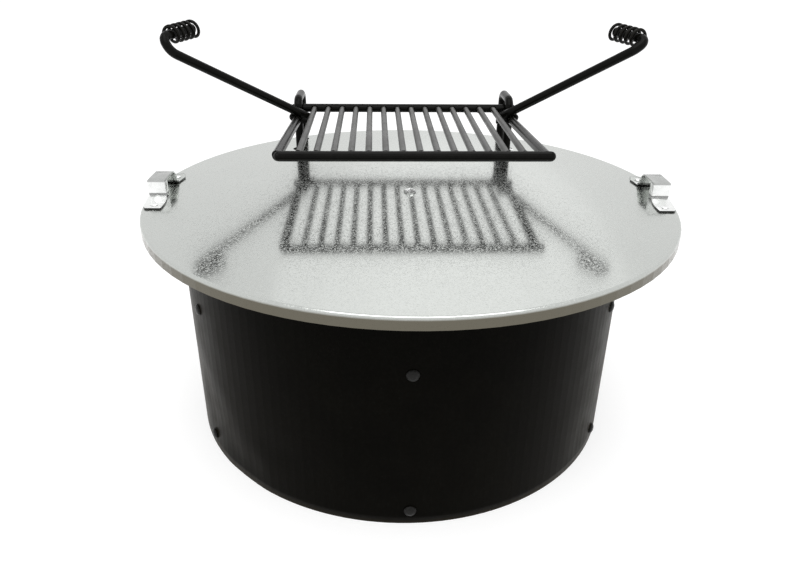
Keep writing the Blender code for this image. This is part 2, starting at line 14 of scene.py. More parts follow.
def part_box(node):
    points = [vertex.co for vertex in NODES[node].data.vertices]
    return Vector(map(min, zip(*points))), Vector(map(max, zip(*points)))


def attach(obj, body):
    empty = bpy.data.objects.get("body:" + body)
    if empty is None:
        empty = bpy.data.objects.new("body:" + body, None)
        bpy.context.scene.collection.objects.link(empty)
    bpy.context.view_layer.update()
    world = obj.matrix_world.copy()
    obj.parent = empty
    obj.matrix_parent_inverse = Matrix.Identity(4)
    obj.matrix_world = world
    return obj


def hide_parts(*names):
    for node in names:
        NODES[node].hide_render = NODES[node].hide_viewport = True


bl_info = {
    "name": "Charcoal grill looks",
    "version": (1, 0, 0),
    "blender": (4, 5, 0),
    "location": "View3D > Sidebar > Grill",
    "description": "Finishes for the drum, lid, uprights and cooking grate, and a plain studio",
    "category": "Object",
}

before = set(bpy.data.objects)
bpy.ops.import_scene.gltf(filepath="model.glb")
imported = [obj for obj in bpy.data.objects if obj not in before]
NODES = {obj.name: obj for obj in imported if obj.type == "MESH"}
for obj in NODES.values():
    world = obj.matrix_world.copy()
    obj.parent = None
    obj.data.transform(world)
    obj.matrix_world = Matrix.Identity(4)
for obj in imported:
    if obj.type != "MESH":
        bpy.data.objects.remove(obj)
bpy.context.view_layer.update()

# Sizes and places that the new pieces share with the solids
DRUM_CENTRE = Vector((-0.0129, -0.0065, 0.0))
DRUM_RADIUS = 0.420
SHELL_WALL = 0.0032
LID_TOP = 0.438
STRAP_REACH = 0.034
ROD_RADIUS = 0.009525
BAR_RADIUS = 0.00635
GRATE_Z = 0.529
FRONT_BAR_Y = sum(corner.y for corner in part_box("front_bar")) / 2
REAR_BAR_Y = sum(corner.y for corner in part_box("rear_bar")) / 2
BAR_PITCH = 0.03175
BAR_COUNT = 14
GRIP_START = Vector((0.4815, 0.2000, 0.7020))
GRIP_DIRECTION = Vector((-0.440, 0.890, 0.070)).normalized()
GRIP_ROD_LENGTH = 0.072

# The drum's new shell: faces round it, cuts up it, and how far it stays inside the solid one
SHELL_SIDES = 144
SHELL_CUTS = 27
SHELL_CLEARANCE = 0.0001

# Knocks in the shell: azimuth in degrees, height, reach, and share of the dent depth. Each
# takes hold of a small patch, and the wall round it follows as far as the reach
KNOCKS = (
    (214, 0.075, 0.085, 1.0), (205, 0.150, 0.060, 0.55), (226, 0.030, 0.060, 0.8),
    (238, 0.110, 0.050, 0.35), (322, 0.060, 0.070, 0.5), (100, 0.090, 0.090, 0.7),
    (48, 0.210, 0.080, 0.5), (165, 0.060, 0.060, 0.6))
KNOCK_PATCH = 0.011

# Heights between which the lid's skin turns into the painted shade of its lip: a darker colour that
# stands in for the darker surroundings the turned-down lip reflects
LIP_PAINTED_SHADE_HEIGHTS = (LID_TOP - 0.006, LID_TOP - 0.0025)

# Painted shade on the straps by height above the lid: painted shadow under the feet and in the
# bends above them, the zinc left bright on the feet and the webs, and painted shade darkening the
# top
PAINTED_FOOT_SHADOW = (0.07, 0.07, 0.065, 1)
STRAP_PAINTED_SHADES = (
    (0.0030, 0.10), (0.0032, 1.0), (0.0037, 1.0), (0.0042, 0.12), (0.0060, 0.22),
    (0.0085, 1.0), (0.0282, 1.0), (0.0300, 0.50))
TOP_PAINTED_SHADE = (0.50, 0.51, 0.50, 1)

# Painted shade makes the far feet a little darker: where that starts and is full along Y and up Z
FAR_FOOT = (0.040, 0.055)
FAR_FOOT_TOP = (LID_TOP + 0.0036, LID_TOP + 0.0045)
FAR_FOOT_PAINTED_SHADE = (0.60, 0.62, 0.60, 1)

# Weld beads: how much of one stands off its bar, how far it sinks into the frame rod, the
# lump on one side, its unevenness, and the turn from one bead to the next in degrees
WELD_STAND_OFF = 0.35
WELD_SINK = 0.0006
WELD_LUMP = 0.0004
WELD_SHAKE = 0.00018
WELD_TURN = 47

# Coil grips: the turn-ins' radius as a share of the wire, the gap from their ends to the
# rod, the share of the coil that the last end leans back, and points on each part
COIL_BEND = 0.62
COIL_SEAT = 0.0003
TAIL_BACK = 0.07
TURN_IN_POINTS = 5
TURN_POINTS = 28

# The studio's lamps: name, place, aim, diameter and power in watts
LAMPS = (
    ("Key", (-1.2, -1.3, 2.4), (0, 0, 0.4), 0.8, 5),
    ("Top", (0.15, -0.45, 2.8), (0, 0, 0.45), 2.4, 25),
    ("Back inner", (0.35, 2.2, 1.95), (0, -0.3, 0.45), 0.9, 0.6),
    ("Back middle", (0.35, 2.2, 1.95), (0, -0.3, 0.45), 1.5, 1.4),
    ("Back outer", (0.35, 2.2, 1.95), (0, -0.3, 0.45), 2.1, 2.2))
FLOOR_RADIUS = 40.0
FLOOR_GLOW = 0.62

CAMERA_PLACE = (-0.0666, -1.2702, 0.8717)
CAMERA_FORWARD = (0.03537, 0.89240, -0.44985)
CAMERA_ROLL = 0.687
CAMERA_LENS = 30.608
CAMERA_SENSOR = 36.0

# The drum's dusty sheen
DRUM_HAZE = 0.042
DRUM_HAZE_ROUGHNESS = 0.35
DRUM_HAZE_TINT = (0.95, 0.78, 0.50, 1.0)


class GrillSizes(bpy.types.PropertyGroup):
    weld_size: bpy.props.FloatProperty(
        name="Weld size", description="Thickness of the weld bead round a grate bar",
        default=0.0017, min=0.0005, max=0.004, unit="LENGTH")
    dent_depth: bpy.props.FloatProperty(
        name="Dent depth", description="How far the shell is knocked in at its lower edge",
        default=0.0030, min=0.0, max=0.008, unit="LENGTH")
    strap_edge: bpy.props.FloatProperty(
        name="Strap edge", description="Width of the worn edge on the strap handles",
        default=0.0006, min=0.0001, max=0.001, unit="LENGTH")
    coil_wire: bpy.props.FloatProperty(
        name="Coil wire", description="Thickness of the wire in the coil grips",
        default=0.0066, min=0.003, max=0.009, unit="LENGTH")
    coil_outside: bpy.props.FloatProperty(
        name="Coil outside", description="Outer diameter of the coil grips",
        default=0.0388, min=0.03, max=0.05, unit="LENGTH")
    coil_pitch: bpy.props.FloatProperty(
        name="Coil pitch", description="Distance from one turn of a grip to the next",
        default=0.0155, min=0.008, max=0.03, unit="LENGTH")
    coil_turns: bpy.props.FloatProperty(
        name="Coil turns", description="Turns in each coil grip", default=4.85, min=2.0, max=8.0)
    spangle: bpy.props.FloatProperty(
        name="Spangle", description="Size of one zinc crystal on the galvanised lid",
        default=0.0020, min=0.001, max=0.05, unit="LENGTH")


class GrillColours(bpy.types.PropertyGroup):
    drum_paint: bpy.props.FloatVectorProperty(
        name="Drum paint", description="Colour of the flat black paint on the drum",
        subtype="COLOR", default=(0.0020, 0.0018, 0.0012), min=0.0, max=1.0)
    rod_paint: bpy.props.FloatVectorProperty(
        name="Rod paint", description="Colour of the satin black paint on the rods",
        subtype="COLOR", default=(0.0026, 0.0025, 0.0020), min=0.0, max=1.0)
    # Lighter than the rods' paint: partly the bars' own seasoning and partly painted light for the
    # light their tops catch from above
    bar_paint_and_painted_light: bpy.props.FloatVectorProperty(
        name="Bar paint", description="Colour of the burnished black paint on the grate bars",
        subtype="COLOR", default=(0.011, 0.0108, 0.0088), min=0.0, max=1.0)
    coil_paint: bpy.props.FloatVectorProperty(
        name="Coil finish", description="Colour of the black wire of the grips",
        subtype="COLOR", default=(0.0050, 0.0046, 0.0036), min=0.0, max=1.0)
    lid_zinc: bpy.props.FloatVectorProperty(
        name="Lid zinc", description="Colour of the galvanised lid",
        subtype="COLOR", default=(0.545, 0.563, 0.542), min=0.0, max=1.0)
    # Painted shade: the lip's colour is darkened to stand in for the darker surroundings that the
    # lip reflects
    lip_painted_shade_zinc: bpy.props.FloatVectorProperty(
        name="Lip zinc", description="Colour of the lid's dull turned-down lip",
        subtype="COLOR", default=(0.124, 0.115, 0.091), min=0.0, max=1.0)
    strap_zinc: bpy.props.FloatVectorProperty(
        name="Strap zinc", description="Colour of the bright straps and bolts",
        subtype="COLOR", default=(0.88, 0.89, 0.88), min=0.0, max=1.0)
    floor: bpy.props.FloatVectorProperty(
        name="Floor", description="Colour of the studio floor",
        subtype="COLOR", default=(0.50, 0.50, 0.50), min=0.0, max=1.0)


# Small tools of the workbench

def sizes():
    return bpy.context.scene.grill_sizes


def colours():
    return bpy.context.scene.grill_colours


def deselect():
    if bpy.context.object and bpy.context.object.mode == "EDIT":
        bpy.ops.object.mode_set(mode="OBJECT")
    bpy.ops.object.select_all(action="DESELECT")


def pick(*pieces):
    """Select these pieces alone, the first one active."""
    deselect()
    for piece in pieces:
        piece.select_set(True)
    bpy.context.view_layer.objects.active = pieces[0]


def named(name):
    """Name the piece that an operator has just added."""
    piece = bpy.context.object
    piece.name = name
    piece.data.name = name
    return piece


def edit(piece, kind, test):
    """Open a piece in edit mode with only the parts that pass a test selected."""
    pick(piece)
    bpy.ops.object.mode_set(mode="EDIT")
    bpy.ops.mesh.select_mode(type=kind)
    mesh = bmesh.from_edit_mesh(piece.data)
    parts = {"VERT": mesh.verts, "EDGE": mesh.edges, "FACE": mesh.faces}[kind]
    for part in parts:
        part.select_set(False)
    for part in parts:
        if test(part):
            part.select_set(True)
    mesh.select_flush(True)
    bmesh.update_edit_mesh(piece.data)


def close_edit():
    bpy.ops.object.mode_set(mode="OBJECT")


def settle(piece, angle=35):
    """Put the piece's place into its mesh and smooth it by angle."""
    pick(piece)
    bpy.ops.object.transform_apply(location=True, rotation=True, scale=True)
    bpy.ops.object.shade_smooth_by_angle(angle=math.radians(angle))


def apply_modifiers(piece):
    pick(piece)
    for step in list(piece.modifiers):
        bpy.ops.object.modifier_apply(modifier=step.name)


def copy_of(piece, name):
    """A copy with its own mesh."""
    made = piece.copy()
    made.data = piece.data.copy()
    made.name = name
    made.data.name = name
    bpy.context.scene.collection.objects.link(made)
    return made


def solid_copy(node, name):
    """A welded copy of a CAD node's mesh, to be reworked by hand."""
    made = copy_of(NODES[node], name)
    made.parent = None
    for key in list(made.keys()):
        del made[key]
    edit(made, "VERT", lambda vert: True)
    bpy.ops.mesh.remove_doubles(threshold=0.00001)
    bpy.ops.mesh.dissolve_limited(angle_limit=math.radians(1))
    close_edit()
    return made


def dress(piece, finish, body):
    """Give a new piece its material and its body."""
    piece.data.materials.clear()
    piece.data.materials.append(finish)
    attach(piece, body)


def repaint(finish, *names):
    """Put a better material in the slots of CAD nodes."""
    for name in names:
        node = NODES[name]
        for slot in node.material_slots:
            slot.material = finish
        if not node.material_slots:
            node.data.materials.append(finish)


# Materials

SKIN_OUTPUTS = (("Colour", "NodeSocketColor"), ("Roughness", "NodeSocketFloat"),
                ("Height", "NodeSocketFloat"))


def node_group(name, inputs, outputs):
    """A shader node group with its sockets: (name, kind, default) for each input."""
    group = bpy.data.node_groups.new(name, "ShaderNodeTree")
    for label, kind, value in inputs:
        socket = group.interface.new_socket(label, in_out="INPUT", socket_type=kind)
        if value is not None:
            socket.default_value = value
    for label, kind in outputs:
        group.interface.new_socket(label, in_out="OUTPUT", socket_type=kind)
    first = group.nodes.new("NodeGroupInput")
    last = group.nodes.new("NodeGroupOutput")
    first.location = (-900, 0)
    last.location = (700, 0)
    return group, first, last


def texture(tree, kind, vector, location, **values):
    """A texture node that reads a vector."""
    node = tree.nodes.new(kind)
    node.location = location
    for key, value in values.items():
        node.inputs[key.replace("_", " ")].default_value = value
    tree.links.new(vector, node.inputs["Vector"])
    return node


def spread(tree, value, low, high, location, start=0.0, stop=1.0):
    """Map a value from one range to another."""
    node = tree.nodes.new("ShaderNodeMapRange")
    node.location = location
    for key, number in (("From Min", start), ("From Max", stop), ("To Min", low), ("To Max", high)):
        node.inputs[key].default_value = number
    tree.links.new(value, node.inputs["Value"])
    return node.outputs["Result"]


def arithmetic(tree, operation, first, second, location):
    """A Math node on two sockets or numbers."""
    node = tree.nodes.new("ShaderNodeMath")
    node.operation = operation
    node.location = location
    for index, value in enumerate((first, second)):
        if isinstance(value, (int, float)):
            node.inputs[index].default_value = value
        else:
            tree.links.new(value, node.inputs[index])
    return node.outputs[0]


def blend_colours(tree, factor, first, second, location, kind="MIX"):
    """A colour Mix node."""
    node = tree.nodes.new("ShaderNodeMix")
    node.data_type = "RGBA"
    node.blend_type = kind
    node.location = location
    for key, value in ((0, factor), (6, first), (7, second)):
        if isinstance(value, (int, float, tuple)):
            node.inputs[key].default_value = value
        else:
            tree.links.new(value, node.inputs[key])
    return node.outputs[2]


def spangle_group():
    """Zinc crystals: patches that differ in shade and gloss, over faint handling smears."""
    group, first, last = node_group(
        "Zinc spangle",
        [("Vector", "NodeSocketVector", None), ("Colour", "NodeSocketColor", (0.6, 0.6, 0.6, 1)),
         ("Crystals per metre", "NodeSocketFloat", 90.0), ("Contrast", "NodeSocketFloat", 0.1),
         ("Gloss", "NodeSocketFloat", 0.12), ("Dull gloss", "NodeSocketFloat", 0.3),
         ("Smears", "NodeSocketFloat", 0.05)],
        SKIN_OUTPUTS)
    vector = first.outputs["Vector"]
    ragged = texture(group, "ShaderNodeTexNoise", vector, (-700, -250), Scale=260.0, Detail=3.0)
    push = group.nodes.new("ShaderNodeVectorMath")
    push.operation = "MULTIPLY_ADD"
    push.location = (-520, -120)
    push.inputs[1].default_value = (0.002, 0.002, 0.002)
    group.links.new(ragged.outputs["Color"], push.inputs[0])
    group.links.new(vector, push.inputs[2])
    crystals = texture(group, "ShaderNodeTexVoronoi", push.outputs[0], (-340, 60))
    group.links.new(first.outputs["Crystals per metre"], crystals.inputs["Scale"])
    split = group.nodes.new("ShaderNodeSeparateColor")
    split.location = (-160, 60)
    group.links.new(crystals.outputs["Color"], split.inputs[0])
    smear = texture(group, "ShaderNodeTexNoise", vector, (-340, -320), Scale=9.0, Detail=5.0,
                    Roughness=0.6)
    fine = texture(group, "ShaderNodeTexNoise", vector, (-340, -560), Scale=420.0, Detail=2.0)

    patch = spread(group, split.outputs[0], -1.0, 1.0, (20, 140))
    grain = spread(group, fine.outputs["Fac"], -0.6, 0.6, (20, -560))
    both = arithmetic(group, "ADD", patch, grain, (180, 60))
    shade = arithmetic(group, "MULTIPLY", both, first.outputs["Contrast"], (320, 140))
    veil = spread(group, smear.outputs["Fac"], -1.0, 1.0, (20, -320), 0.3, 0.7)
    veil = arithmetic(group, "MULTIPLY", veil, first.outputs["Smears"], (180, -240))
    level = arithmetic(group, "ADD", shade, veil, (320, -40))
    level = arithmetic(group, "ADD", level, 1.0, (440, 60))
    tint = blend_colours(group, 1.0, first.outputs["Colour"], level, (560, 160), "MULTIPLY")
    group.links.new(tint, last.inputs["Colour"])
    dull = spread(group, split.outputs[1], 0.0, 1.0, (180, -440), 0.5, 0.9)
    step = arithmetic(group, "SUBTRACT", first.outputs["Dull gloss"], first.outputs["Gloss"],
                      (180, -600))
    dull = arithmetic(group, "MULTIPLY", dull, step, (320, -440))
    dull = arithmetic(group, "ADD", dull, veil, (440, -440))
    rough = arithmetic(group, "ADD", dull, first.outputs["Gloss"], (560, -360))
    group.links.new(rough, last.inputs["Roughness"])
    group.links.new(grain, last.inputs["Height"])
    return group


def paint_group():
    """Brushed or sprayed black paint: orange peel, thin places and a little dust on top."""
    group, first, last = node_group(
        "Black paint",
        [("Vector", "NodeSocketVector", None), ("Colour", "NodeSocketColor", (0.02, 0.02, 0.02, 1)),
         ("Gloss", "NodeSocketFloat", 0.4), ("Dust", "NodeSocketFloat", 0.1),
         ("Dust colour", "NodeSocketColor", (0.10, 0.095, 0.085, 1)),
         ("Peel per metre", "NodeSocketFloat", 500.0)],
        SKIN_OUTPUTS)
    vector = first.outputs["Vector"]
    peel = texture(group, "ShaderNodeTexNoise", vector, (-600, 100), Detail=2.0)
    group.links.new(first.outputs["Peel per metre"], peel.inputs["Scale"])
    cloud = texture(group, "ShaderNodeTexNoise", vector, (-600, -150), Scale=14.0, Detail=6.0,
                    Roughness=0.65)
    speck = texture(group, "ShaderNodeTexNoise", vector, (-600, -400), Scale=150.0, Detail=4.0)
    thin = spread(group, cloud.outputs["Fac"], 0.75, 1.3, (-380, -150), 0.3, 0.7)
    tint = blend_colours(group, 1.0, first.outputs["Colour"], thin, (-160, 60), "MULTIPLY")
    powder = spread(group, speck.outputs["Fac"], 0.0, 1.0, (-380, -400), 0.42, 0.72)
    powder = arithmetic(group, "MULTIPLY", powder, cloud.outputs["Fac"], (-200, -360))
    powder = arithmetic(group, "MULTIPLY", powder, first.outputs["Dust"], (-40, -300))
    tint = blend_colours(group, powder, tint, first.outputs["Dust colour"], (160, 60))
    group.links.new(tint, last.inputs["Colour"])
    dull = spread(group, cloud.outputs["Fac"], -0.06, 0.08, (-200, -160), 0.3, 0.7)
    dull = arithmetic(group, "ADD", dull, first.outputs["Gloss"], (160, -120))
    dull = arithmetic(group, "ADD", dull, powder, (320, -120))
    group.links.new(dull, last.inputs["Roughness"])
    group.links.new(peel.outputs["Fac"], last.inputs["Height"])
    return group


def finish_of(name, group, values, metallic, specular, bump, distance):
    """A Principled material fed by a node group that reads Object coordinates."""
    made = bpy.data.materials.new(name)
    made.use_nodes = True
    tree = made.node_tree
    shader = tree.nodes["Principled BSDF"]
    shader.inputs["Metallic"].default_value = metallic
    shader.inputs["Specular IOR Level"].default_value = specular
    place = tree.nodes.new("ShaderNodeTexCoord")
    place.location = (-900, 0)
    skin = tree.nodes.new("ShaderNodeGroup")
    skin.node_tree = group
    skin.location = (-500, 0)
    skin.width = 220
    for key, value in values.items():
        skin.inputs[key].default_value = value
    relief = tree.nodes.new("ShaderNodeBump")
    relief.location = (-250, -250)
    relief.inputs["Strength"].default_value = bump
    relief.inputs["Distance"].default_value = distance
    tree.links.new(place.outputs["Object"], skin.inputs["Vector"])
    tree.links.new(skin.outputs["Colour"], shader.inputs["Base Color"])
    tree.links.new(skin.outputs["Roughness"], shader.inputs["Roughness"])
    tree.links.new(skin.outputs["Height"], relief.inputs["Height"])
    tree.links.new(relief.outputs["Normal"], shader.inputs["Normal"])
    return made


def parts_of(finish):
    """A finish's node tree, its shader, its coordinates and its skin."""
    tree = finish.node_tree
    kinds = {node.type: node for node in tree.nodes}
    return tree, kinds["BSDF_PRINCIPLED"], kinds["TEX_COORD"], kinds["GROUP"]


def split_place(tree, place, location):
    """The X, Y and Z outputs of a piece's Object coordinates."""
    split = tree.nodes.new("ShaderNodeSeparateXYZ")
    split.location = location
    tree.links.new(place.outputs["Object"], split.inputs[0])
    return split.outputs


def background_rays(tree):
    """One for the rays that show the background: seen, mirrored or through glass."""
    rays = tree.nodes.new("ShaderNodeLightPath")
    shown = arithmetic(tree, "MAXIMUM", rays.outputs["Is Camera Ray"],
                       rays.outputs["Is Glossy Ray"], (-700, -300))
    return arithmetic(tree, "MAXIMUM", shown, rays.outputs["Is Transmission Ray"], (-500, -300))


def opaque(colour):
    return (*colour, 1.0)


def paint(name, colour, gloss, specular, dust, peel=0.25):
    """A black paint finish, made once."""
    if name in bpy.data.materials:
        return bpy.data.materials[name]
    group = bpy.data.node_groups.get("Black paint") or paint_group()
    values = {"Colour": opaque(colour), "Gloss": gloss, "Dust": dust}
    return finish_of(name, group, values, metallic=0.0, specular=specular, bump=peel,
                     distance=0.0004)


def zinc(name, colour, gloss, dull_gloss, contrast, smears, crystal):
    """A galvanised finish, made once."""
    if name in bpy.data.materials:
        return bpy.data.materials[name]
    group = bpy.data.node_groups.get("Zinc spangle") or spangle_group()
    values = {"Colour": opaque(colour), "Gloss": gloss, "Dull gloss": dull_gloss,
              "Contrast": contrast, "Smears": smears, "Crystals per metre": 1.0 / crystal}
    return finish_of(name, group, values, metallic=1.0, specular=0.5, bump=0.008,
                     distance=0.0002)


def drum_finish():
    """The drum's flat black paint under a haze of dust."""
    made = paint("Drum paint", colours().drum_paint, gloss=0.34, specular=0.02, dust=0.02)
    shader = made.node_tree.nodes["Principled BSDF"]
    shader.inputs["Sheen Weight"].default_value = DRUM_HAZE
    shader.inputs["Sheen Roughness"].default_value = DRUM_HAZE_ROUGHNESS
    shader.inputs["Sheen Tint"].default_value = DRUM_HAZE_TINT
    return made


def drum_bolt_finish():
    """The drum's paint, worn a little shinier on the bolt heads."""
    return paint("Bolt paint", colours().drum_paint, gloss=0.34, specular=0.2, dust=0.05)


def rod_finish():
    """The rods' smooth satin black."""
    return paint("Rod paint", colours().rod_paint, gloss=0.20, specular=0.08, dust=0.03, peel=0.05)


def bar_finish():
    """The grate bars' paint: the rods' black, burnished by food and brushes, with a lighter colour
    that is partly their own seasoning and partly painted light for the light on the bars' tops.
    """
    return paint("Bar paint", colours().bar_paint_and_painted_light, gloss=0.30, specular=0.35, dust=0.12)


def coil_finish():
    """The grips' black wire."""
    return paint("Coil finish", colours().coil_paint, gloss=0.22, specular=0.10, dust=0.04,
                 peel=0.06)


def bolt_finish():
    """The bright zinc of the lid's bolts."""
    return zinc("Bolt zinc", colours().strap_zinc, gloss=0.15, dull_gloss=0.22, contrast=0.03,
                smears=0.02, crystal=0.006)


def lid_finish():
    """The lid's zinc, with painted shade on the turned-down lip: a darker colour there stands in
    for the darker surroundings it reflects.
    """
    made = zinc("Lid zinc", colours().lid_zinc, gloss=0.115, dull_gloss=0.32, contrast=0.04,
                smears=0.01, crystal=sizes().spangle)
    tree, shader, place, skin = parts_of(made)
    along = split_place(tree, place, (-700, 300))
    # Painted shade: the lip's darker colour blended in below the lid's top
    on_painted_lip_shade = spread(tree, along["Z"], 1.0, 0.0, (-500, 300), *LIP_PAINTED_SHADE_HEIGHTS)
    lip = blend_colours(tree, on_painted_lip_shade, skin.outputs["Colour"], opaque(colours().lip_painted_shade_zinc),
                        (-250, 300))
    tree.links.new(lip, shader.inputs["Base Color"])
    return made


def strap_finish():
    """The straps' bright zinc, with painted shade: darkened on top, and painted shadow along the
    bends and edges.
    """
    made = zinc("Strap zinc", colours().strap_zinc, gloss=0.22, dull_gloss=0.32, contrast=0.04,
                smears=0.03, crystal=0.007)
    tree, shader, place, skin = parts_of(made)
    along = split_place(tree, place, (-900, 300))
    rise = spread(tree, along["Z"], 0.0, 1.0, (-720, 300), LID_TOP, LID_TOP + STRAP_REACH)
    # Painted shading by height: painted shadow at the feet's edges and in the bends, painted shade
    # on the top
    painted_shading_ramp = tree.nodes.new("ShaderNodeValToRGB")
    painted_shading_ramp.location = (-540, 300)
    tree.links.new(rise, painted_shading_ramp.inputs["Fac"])
    shades = painted_shading_ramp.color_ramp.elements
    shades[0].position = 0.0
    shades[0].color = PAINTED_FOOT_SHADOW
    shades[1].position = 1.0
    shades[1].color = TOP_PAINTED_SHADE
    for height, shade in STRAP_PAINTED_SHADES:
        stop = shades.new(height / STRAP_REACH)
        stop.color = (shade, shade, shade, 1)
    tint = blend_colours(tree, 1.0, skin.outputs["Colour"], painted_shading_ramp.outputs["Color"], (-250, 300),
                         "MULTIPLY")
    # Painted shade on the far feet
    far = spread(tree, along["Y"], 0.0, 1.0, (-720, 520), *FAR_FOOT)
    low = spread(tree, along["Z"], 1.0, 0.0, (-720, 700), *FAR_FOOT_TOP)
    on_foot = arithmetic(tree, "MULTIPLY", far, low, (-540, 600))
    far_foot_painted_shade = blend_colours(tree, on_foot, (1, 1, 1, 1), FAR_FOOT_PAINTED_SHADE, (-250, 560))
    tint = blend_colours(tree, 1.0, tint, far_foot_painted_shade, (-60, 400), "MULTIPLY")
    tree.links.new(tint, shader.inputs["Base Color"])
    return made


# The pieces

class GRILL_OT_drum(bpy.types.Operator):
    """Paint the drum and give it a shell with the knocks of use at its lower edge"""
    bl_idname = "grill.drum"
    bl_label = "Drum"

    def execute(self, context):
        low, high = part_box("outer_shell")
        height = high.z - low.z
        deselect()
        bpy.ops.mesh.primitive_cylinder_add(
            vertices=SHELL_SIDES, radius=DRUM_RADIUS - SHELL_CLEARANCE, depth=height,
            end_fill_type="NOTHING", location=DRUM_CENTRE + Vector((0, 0, low.z + height / 2)))
        shell = named("drum_shell")
        edit(shell, "EDGE", lambda edge: abs(edge.verts[0].co.z - edge.verts[1].co.z) > height / 2)
        bpy.ops.mesh.subdivide(number_cuts=SHELL_CUTS)
        close_edit()
        for azimuth, rise, reach, depth in KNOCKS:
            angle = math.radians(azimuth)
            out = Vector((math.cos(angle), math.sin(angle), 0))
            spot = out * DRUM_RADIUS + Vector((0, 0, rise - height / 2))
            edit(shell, "VERT", lambda vert: (vert.co - spot).length < KNOCK_PATCH)
            bpy.ops.transform.translate(
                value=-out * sizes().dent_depth * depth, use_proportional_edit=True,
                proportional_edit_falloff="SMOOTH", proportional_size=reach,
                use_proportional_connected=True)
            close_edit()
        settle(shell)
        wall = shell.modifiers.new("Wall", "SOLIDIFY")
        wall.thickness = SHELL_WALL
        wall.offset = -1
        apply_modifiers(shell)
        dress(shell, drum_finish(), "drum")
        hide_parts("outer_shell")
        bolts = [name for name in NODES if name.startswith("drum_bolt")]
        spacers = [name for name in NODES if name.startswith("spacer_bar")]
        repaint(drum_finish(), "inner_liner", "rim_ring", "upright_socket_left",
                "upright_socket_right", *spacers)
        repaint(drum_bolt_finish(), *bolts)
        return {"FINISHED"}


class GRILL_OT_lid(bpy.types.Operator):
    """Give the lid its galvanised finish"""
    bl_idname = "grill.lid"
    bl_label = "Lid"

    def execute(self, context):
        repaint(lid_finish(), "lid")
        repaint(bolt_finish(), "lid_bolt")
        return {"FINISHED"}


class GRILL_OT_handles(bpy.types.Operator):
    """Rework the two strap handles with worn edges"""
    bl_idname = "grill.handles"
    bl_label = "Handles"

    def execute(self, context):
        finish = strap_finish()
        for side in ("left", "right"):
            strap = solid_copy(f"handle_{side}", f"strap_handle_{side}")
            edge = strap.modifiers.new("Edge", "BEVEL")
            edge.width = sizes().strap_edge
            edge.segments = 2
            edge.limit_method = "ANGLE"
            edge.angle_limit = math.radians(40)
            edge.use_clamp_overlap = True
            apply_modifiers(strap)
            settle(strap, 40)
            dress(strap, finish, "lid")
            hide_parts(f"handle_{side}")
            for number in (1, 2):
                repaint(bolt_finish(), f"handle_bolt_{side}_{number}")
        return {"FINISHED"}


class GRILL_OT_rods(bpy.types.Operator):
    """Paint the uprights and the rods of the cooking grate"""
    bl_idname = "grill.rods"
    bl_label = "Rods"

    def execute(self, context):
        bars = [name for name in NODES if name.startswith("grate_bar")]
        repaint(rod_finish(), "upright_left", "upright_right", "rear_bar", "front_bar",
                "side_bar_left", "side_bar_right", "arm_left", "arm_right", "lug_left", "lug_right")
        repaint(bar_finish(), *bars)
        return {"FINISHED"}


class GRILL_OT_welds(bpy.types.Operator):
    """Run a weld bead round both ends of every grate bar"""
    bl_idname = "grill.welds"
    bl_label = "Bar welds"

    def execute(self, context):
        size = sizes().weld_size
        deselect()
        bpy.ops.mesh.primitive_torus_add(
            major_segments=20, minor_segments=8, major_radius=BAR_RADIUS + size * WELD_STAND_OFF,
            minor_radius=size, rotation=(math.pi / 2, 0, 0))
        bead = named("bar_weld")
        bpy.ops.object.transform_apply(location=False, rotation=True, scale=False)
        edit(bead, "VERT", lambda vert: vert.co.z > BAR_RADIUS * 0.5)
        bpy.ops.transform.translate(value=(0, 0, WELD_LUMP))
        bpy.ops.mesh.select_all(action="SELECT")
        bpy.ops.transform.vertex_random(offset=WELD_SHAKE, seed=4)
        close_edit()
        for end, along in (("front", FRONT_BAR_Y + ROD_RADIUS - WELD_SINK),
                           ("rear", REAR_BAR_Y - ROD_RADIUS + WELD_SINK)):
            run = []
            for number in range(BAR_COUNT):
                ring = copy_of(bead, f"bar_weld_{end}_{number}")
                ring.rotation_euler.y = math.radians(WELD_TURN * number)
                ring.location = ((number - (BAR_COUNT - 1) / 2) * BAR_PITCH, along, GRATE_Z)
                run.append(ring)
            pick(*run)
            bpy.ops.object.join()
            welds = named(f"bar_welds_{end}")
            settle(welds, 60)
            dress(welds, rod_finish(), "grate")
        bpy.data.objects.remove(bead)
        return {"FINISHED"}


